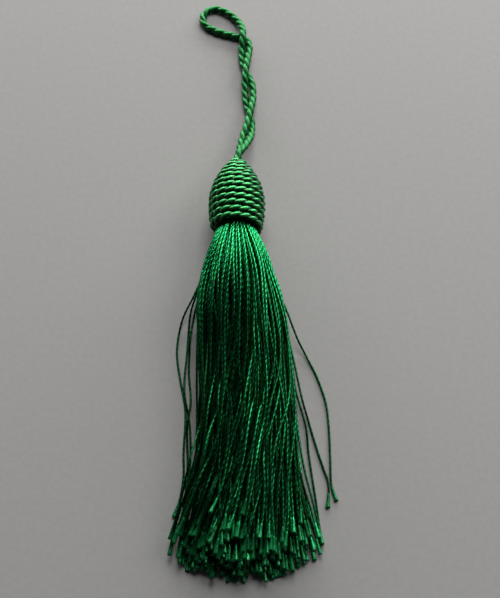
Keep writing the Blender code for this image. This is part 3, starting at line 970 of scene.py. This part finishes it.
def cut_ends(rng, ring_share, angle):
    """Where along the axis each thread is cut, by its place in the last section."""
    x, z = thread_place(np.full(len(angle), END_SECTION_Y), ring_share, angle)
    left, right, _, top, base = section(np.array(END_SECTION_Y))
    aside = (x - (left + right) / 2) / ((right - left) / 2)
    height = (z - base) / (top - base)
    cut = LONGEST_Y + TOP_SHORTER * height + SIDE_SHORTER * aside**2
    cut = cut + rng.uniform(-CUT_SCATTER, CUT_SCATTER, len(angle))
    return cut + TOP_SCATTER * height * np.abs(rng.normal(0, 1, len(angle)))


def skirt_threads():
    """The slices, every thread's places across and up in them, and its cut end."""
    rng = np.random.default_rng(THREADS_SEED)
    ring_share, angle = thread_starts(rng)
    y = np.arange(THREAD_START_Y, LONGEST_Y - SLICES_PAST_END, -SLICE)
    grid_y, share = y[None, :], ring_share[:, None]
    angle = wound(grid_y, share, angle[:, None])
    x, z = thread_place(grid_y, share, angle)
    x, z = tousled(rng, x, z, grid_y, share)
    return y, np.stack([x, z], axis=-1), cut_ends(rng, ring_share, angle[:, -1])


def stray_lines(y):
    """The strays' places at the slices, and their cut ends."""
    places, cuts = [], []
    for share, *route in STRAYS:
        root_y = [yy for yy in STRAY_ROOT_Y if yy > route[0][1] + STRAY_LEAVING]
        x, z = thread_place(np.array(root_y), 1.0, 2 * math.pi * (share + STRAY_SHIFT))
        line = smooth_line(np.vstack([np.stack([x, root_y, z], axis=1), route]), 0.5)
        line = line[np.argsort(line[:, 1])]
        places.append(read_off(y, line[:, 1], line[:, (0, 2)]))
        cuts.append(route[-1][1])
    return np.array(places), np.array(cuts)


def reaches(y, cut, room):
    """Which thread is there in which slice, with some room past its cut end."""
    return cut[:, None] < y[None, :] + room


def push_apart(y, place, cut, fixed):
    """Moves the threads of each slice apart, the strays staying put.

    It takes out most of their overlap but not all: threads still press into each other, most of all
    in the neck, where they are closer together than they are thick.
    """
    home = place.copy()
    alive = reaches(y, cut, 1.0)
    nearest = np.where(y > NECK_Y, NECK_SPACING, 2.0 * THREAD_RADIUS)
    least_z = np.where(y > NECK_Y, -9.0, THREAD_RADIUS)
    free = ~fixed
    for _ in range(PUSH_ROUNDS):
        for k in range(1, len(y)):
            here = np.flatnonzero(alive[:, k])
            p = place[here, k]
            gap = p[:, None] - p[None, :]
            far = np.sqrt((gap**2).sum(-1)) + 1e-9
            np.fill_diagonal(far, 9.0)
            push = np.maximum(0.0, nearest[k] - far) * PUSH
            move = (gap / far[..., None] * push[..., None]).sum(1)
            move[fixed[here]] = 0.0
            p = p + np.clip(move, -MOST_PUSH, MOST_PUSH)
            p[:, 1] = np.maximum(p[:, 1], least_z[k])
            place[here, k] = p
        near = place[free]
        even = near.copy()
        even[:, 1:-1] = (near[:, :-2] + near[:, 2:]) / 2
        near += EVEN_OUT * (even - near)
        near += GO_HOME * (home[free] - near)
        place[free] = near
    return place


def sunk_between(y, place, cut):
    """How deep each thread lies between its neighbours in each slice, from 0, proud, to 1, for
    painted shade.
    """
    alive = reaches(y, cut, 0.5)
    sunk = np.ones(alive.shape)
    # The painted shade is left out in the neck and fades in below it.
    fades = smooth_step((NECK_Y - y) / CREVICE_LENGTH)
    for k in range(len(y)):
        here = np.flatnonzero(alive[:, k])
        p = place[here, k]
        left, right, _, top, base = section(y[k])
        flat = max(0.0, (right - left) / 2 - (top - base) / 2)
        core_x = np.clip(p[:, 0], (left + right) / 2 - flat, (left + right) / 2 + flat)
        out = unit(p - np.stack([core_x, np.full(len(p), (top + base) / 2)], axis=1))
        gap = p[None, :] - p[:, None]
        above = (gap * out[:, None]).sum(-1)
        beside = np.abs(gap[..., 0] * out[:, None, 1] - gap[..., 1] * out[:, None, 0])
        cover = smooth_step((above - COVER_FROM) / COVER_OVER)
        cover = cover * np.clip(COVER_BESIDE - beside / COVER_WIDTH, 0, 1)
        cover[above > COVER_REACH] = 0.0
        sunk[here, k] = fades[k] * np.clip(cover.sum(1) / COVERS, 0, 1)
    return sunk


def seen_from_outside(y, place, cut):
    """Which thread shows in which slice, looking from above and from the sides."""
    alive = reaches(y, cut, 0.5)
    seen = np.zeros(alive.shape, bool)
    for k in range(len(y)):
        here = np.flatnonzero(alive[:, k])
        p = place[here, k]
        shows = np.zeros(len(here), bool)
        for way in np.radians([-84, -66, -45, -25, -8, 8, 25, 45, 66, 84]):
            toward = p @ np.array([math.sin(way), math.cos(way)])
            across = p @ np.array([math.cos(way), -math.sin(way)])
            nearer = toward[None, :] > toward[:, None] + 0.05
            for part in (-0.8, 0.0, 0.8):
                side = across + part * THREAD_RADIUS
                in_line = np.abs(across[None, :] - side[:, None]) < THREAD_RADIUS
                shows |= ~(in_line & nearer).any(1)
        seen[here, k] = shows
    return seen


# ---------------------------------------------------------------- skirt: its threads

# Angles round a thread's section, and how deep each is in the groove between the two plies, which
# also sets the painted shade there.
THREAD_SECTION = np.radians([0, 42, 90, 138, 180, 222, 270, 318]), np.array([0, 0.35, 1, 0.35] * 2)


def twisted_thread(line, phase, lay):
    """A two-ply thread's rings, fibre and painted shade in the groove between its plies."""
    theta, groove = THREAD_SECTION
    _, up, aside = directions(line, (0, 0, 1))
    reached = along(line)
    angle = theta[None, :] + (phase + math.pi * reached / lay)[:, None]
    reach = THREAD_RADIUS * (1 - THREAD_GROOVE * groove)
    rings = shaped_rings(line, up, aside, reach * np.cos(angle), reach * np.sin(angle))
    # The groove between the plies gets painted shade.
    return rings, fibre_at(theta, reached / THREAD_STREAK), THREAD_SHADE * groove[None, :]


def flared_end(rng, line, wide, high):
    """The end of a cut thread, where its twist opens into a small brush: rings, fibre and the rest.

    wide and high say how much wider and higher the brush gets than the thread.
    """
    forward, up, aside = directions(line, (0, 0, 1))
    reached = along(line)
    share = reached / reached[-1]
    opened = share**FLARE_POWER
    valley = np.arange(FLARE_SIDES) % 2
    ripple = np.where(valley, -1, 1) * rng.uniform(*FLARE_RIPPLE, FLARE_SIDES)
    twist = rng.uniform(0, 6.28) + FLARE_TWIST * share
    angle = even_angles(FLARE_SIDES)[None, :] + twist[:, None]
    reach = THREAD_RADIUS * (FLARE_ROOT + (1 - FLARE_ROOT) * smooth_step(5 * share))[:, None]
    reach = reach * (1 + opened[:, None] * ripple)
    upward = reach * (1 + high * opened[:, None]) * np.cos(angle)
    sideways = reach * (1 + wide * opened[:, None]) * np.sin(angle)
    rings = shaped_rings(line, up, aside, upward, sideways)

    # The cut is ragged, and a last ring lies inside it.
    ragged = rng.uniform(-FLARE_RAGGED, FLARE_RAGGED, FLARE_SIDES)[:, None] * forward[-1]
    inside = line[-1] + 0.5 * (rings[-1] - line[-1])
    inside = inside + rng.uniform(-0.4, 0.1, FLARE_SIDES)[:, None] * forward[-1]
    rings[-1] += ragged
    rings = np.concatenate([rings, inside[None]])
    reached, opened = np.append(reached, reached[-1]), np.append(opened, 1.0)
    # Painted shade in the valleys of the opened brush, and on the ring inside the cut.
    groove = 0.6 * opened[:, None] * valley
    groove[-1] = 0.4
    fibre = fibre_at(np.arange(FLARE_SIDES), reached / THREAD_STREAK)
    return rings, fibre, FRAYED * opened, groove


def stretches(shows, count, last):
    """The stretches of a thread that show and those that don't: start, end and which.

    Its cut end shows, and so does a little to both sides of what shows.
    """
    shows = shows.copy()
    shows[max(0, count - 5) :] = True
    for _ in range(2):
        shows[1:] |= shows[:-1]
        shows[:-1] |= shows[1:]
    found, begin = [], 0
    for k in range(1, count + 1):
        if k == count or shows[k] != shows[begin]:
            found.append((begin, last if k == count else k, shows[begin]))
            begin = k
    return found


def tone_with_painted_side_light(tone, x):
    """A thread's tone with painted light by its place: lighter on the right, and darker on the left
    as painted shade.
    """
    darker = LEFT_PAINTED_SHADE * smooth_step((LEFT_START_X - x) / SIDE_WIDTH)
    return tone * (MIDDLE_PAINTED_LIGHT + SIDE_PAINTED_LIGHT * math.tanh(x / SIDE_WIDTH)) - darker


def spin_thread(rng, points, cut, is_stray, shows, sunk):
    """A thread's tubes as Tubes.add takes them: those that show, and its inner stretches."""
    shown, inner = [], []
    y, slices = points[:, 1], np.arange(len(points))
    # Where the neck's painted light lies, from 1 in the neck to 0 further down.
    neck = smooth_step((y - NECK_PAINTED_LIGHT_END_Y) / NECK_PAINTED_LIGHT_LENGTH)
    count = int(np.searchsorted(-y, -cut))
    last = count + (y[count - 1] - cut) / SLICE - 1
    lay = THREAD_HALF_LAY * rng.uniform(*LAY_SCATTER)
    phase, tone, seed = rng.uniform(0, 6.28), rng.beta(*TONE_SPREAD), rng.uniform(0, 90)
    tone = STRAY_TONE if is_stray else tone_with_painted_side_light(tone, points[count // 2, 0])
    for begin, end, is_seen in stretches(shows, count, last):
        if not is_seen:
            begin, end = max(0, begin - INNER_OVERLAP), min(end + INNER_OVERLAP, last)
            at = np.linspace(begin, end, max(1, round((end - begin) / INNER_STEP)) + 1)
            line = catmull_rom(points, at)
            _, up, aside = directions(line, (0, 0, 1))
            rings = round_rings(line, up, aside, INNER_RADIUS, INNER_SECTION)
            inner.append((rings, np.zeros(rings.shape), INNER_TONE))
            continue
        stop = end - FLARE_LENGTH if end == last else end
        at = np.linspace(begin, stop, max(3, round((stop - begin) * SLICE / THREAD_STEP)) + 1)
        rings, fibre, groove = twisted_thread(catmull_rom(points, at), phase, lay)
        # Painted shade on the stretches that lie deep between other threads.
        painted_unlit_shade = CREVICE_SHADE * np.interp(at, slices, sunk)[:, None]
        groove = 1 - (1 - groove) * (1 - painted_unlit_shade)
        # Painted light: the darker threads are made lighter towards the neck, for its sheen.
        tones_with_painted_light = tone + (1 - tone) * NECK_PAINTED_LIGHT * np.interp(at, slices, neck)
        shown.append((rings, fibre + (0, 0, seed), tones_with_painted_light, 0.0, groove))
        if end == last:
            line = catmull_rom(points, np.linspace(stop - FLARE_OVERLAP, end, FLARE_RINGS))
            wide, high = rng.uniform(*FLARE_WIDER), rng.uniform(*FLARE_HIGHER)
            rings, fibre, bare, groove = flared_end(rng, line, wide, high)
            # The same painted shade, weaker, on the flared end.
            painted_unlit_shade = CREVICE_SHADE * np.interp(end, slices, sunk)
            groove = 1 - (1 - groove) * (1 - 0.4 * painted_unlit_shade)
            shown.append((rings, fibre + (0, 0, seed), tone, bare, groove))
    return shown, inner


def shared_out(tube_list):
    """The tubes in as few meshes as stay within the triangles of one piece."""
    groups, current = [], Tubes()
    for rings, *looks in tube_list:
        if current.triangles() + 2 * rings.shape[0] * rings.shape[1] > MOST_TRIANGLES:
            groups.append(current)
            current = Tubes()
        current.add(rings, *looks)
    return [*groups, current]


def add_skirt(material):
    y, place, cut = skirt_threads()
    stray_place, stray_cut = stray_lines(y)
    fixed = np.arange(len(place) + len(stray_place)) >= len(place)
    place, cut = np.concatenate([place, stray_place]), np.concatenate([cut, stray_cut])
    place = push_apart(y, place, cut, fixed)
    seen = seen_from_outside(y, place, cut)
    sunk = sunk_between(y, place, cut)

    rng = np.random.default_rng(SPINNING_SEED)
    shown, inner = [], Tubes()
    for k in range(len(place)):
        points = np.stack([place[k, :, 0], y, place[k, :, 1]], axis=1)
        outside, inside = spin_thread(rng, points, cut[k], fixed[k], seen[k], sunk[k])
        shown += outside
        for tube in inside:
            inner.add(*tube)
    for number, tubes in enumerate(shared_out(shown)):
        piece(f"skirt_threads_{number + 1}", tubes, material, "skirt")
    piece("skirt_inner_threads", inner, material, "skirt")


add_camera()
add_loop(silk("loop_silk"))
add_head(silk("cord_silk"))
add_skirt(silk("thread_silk"))
add_floor()
add_light()
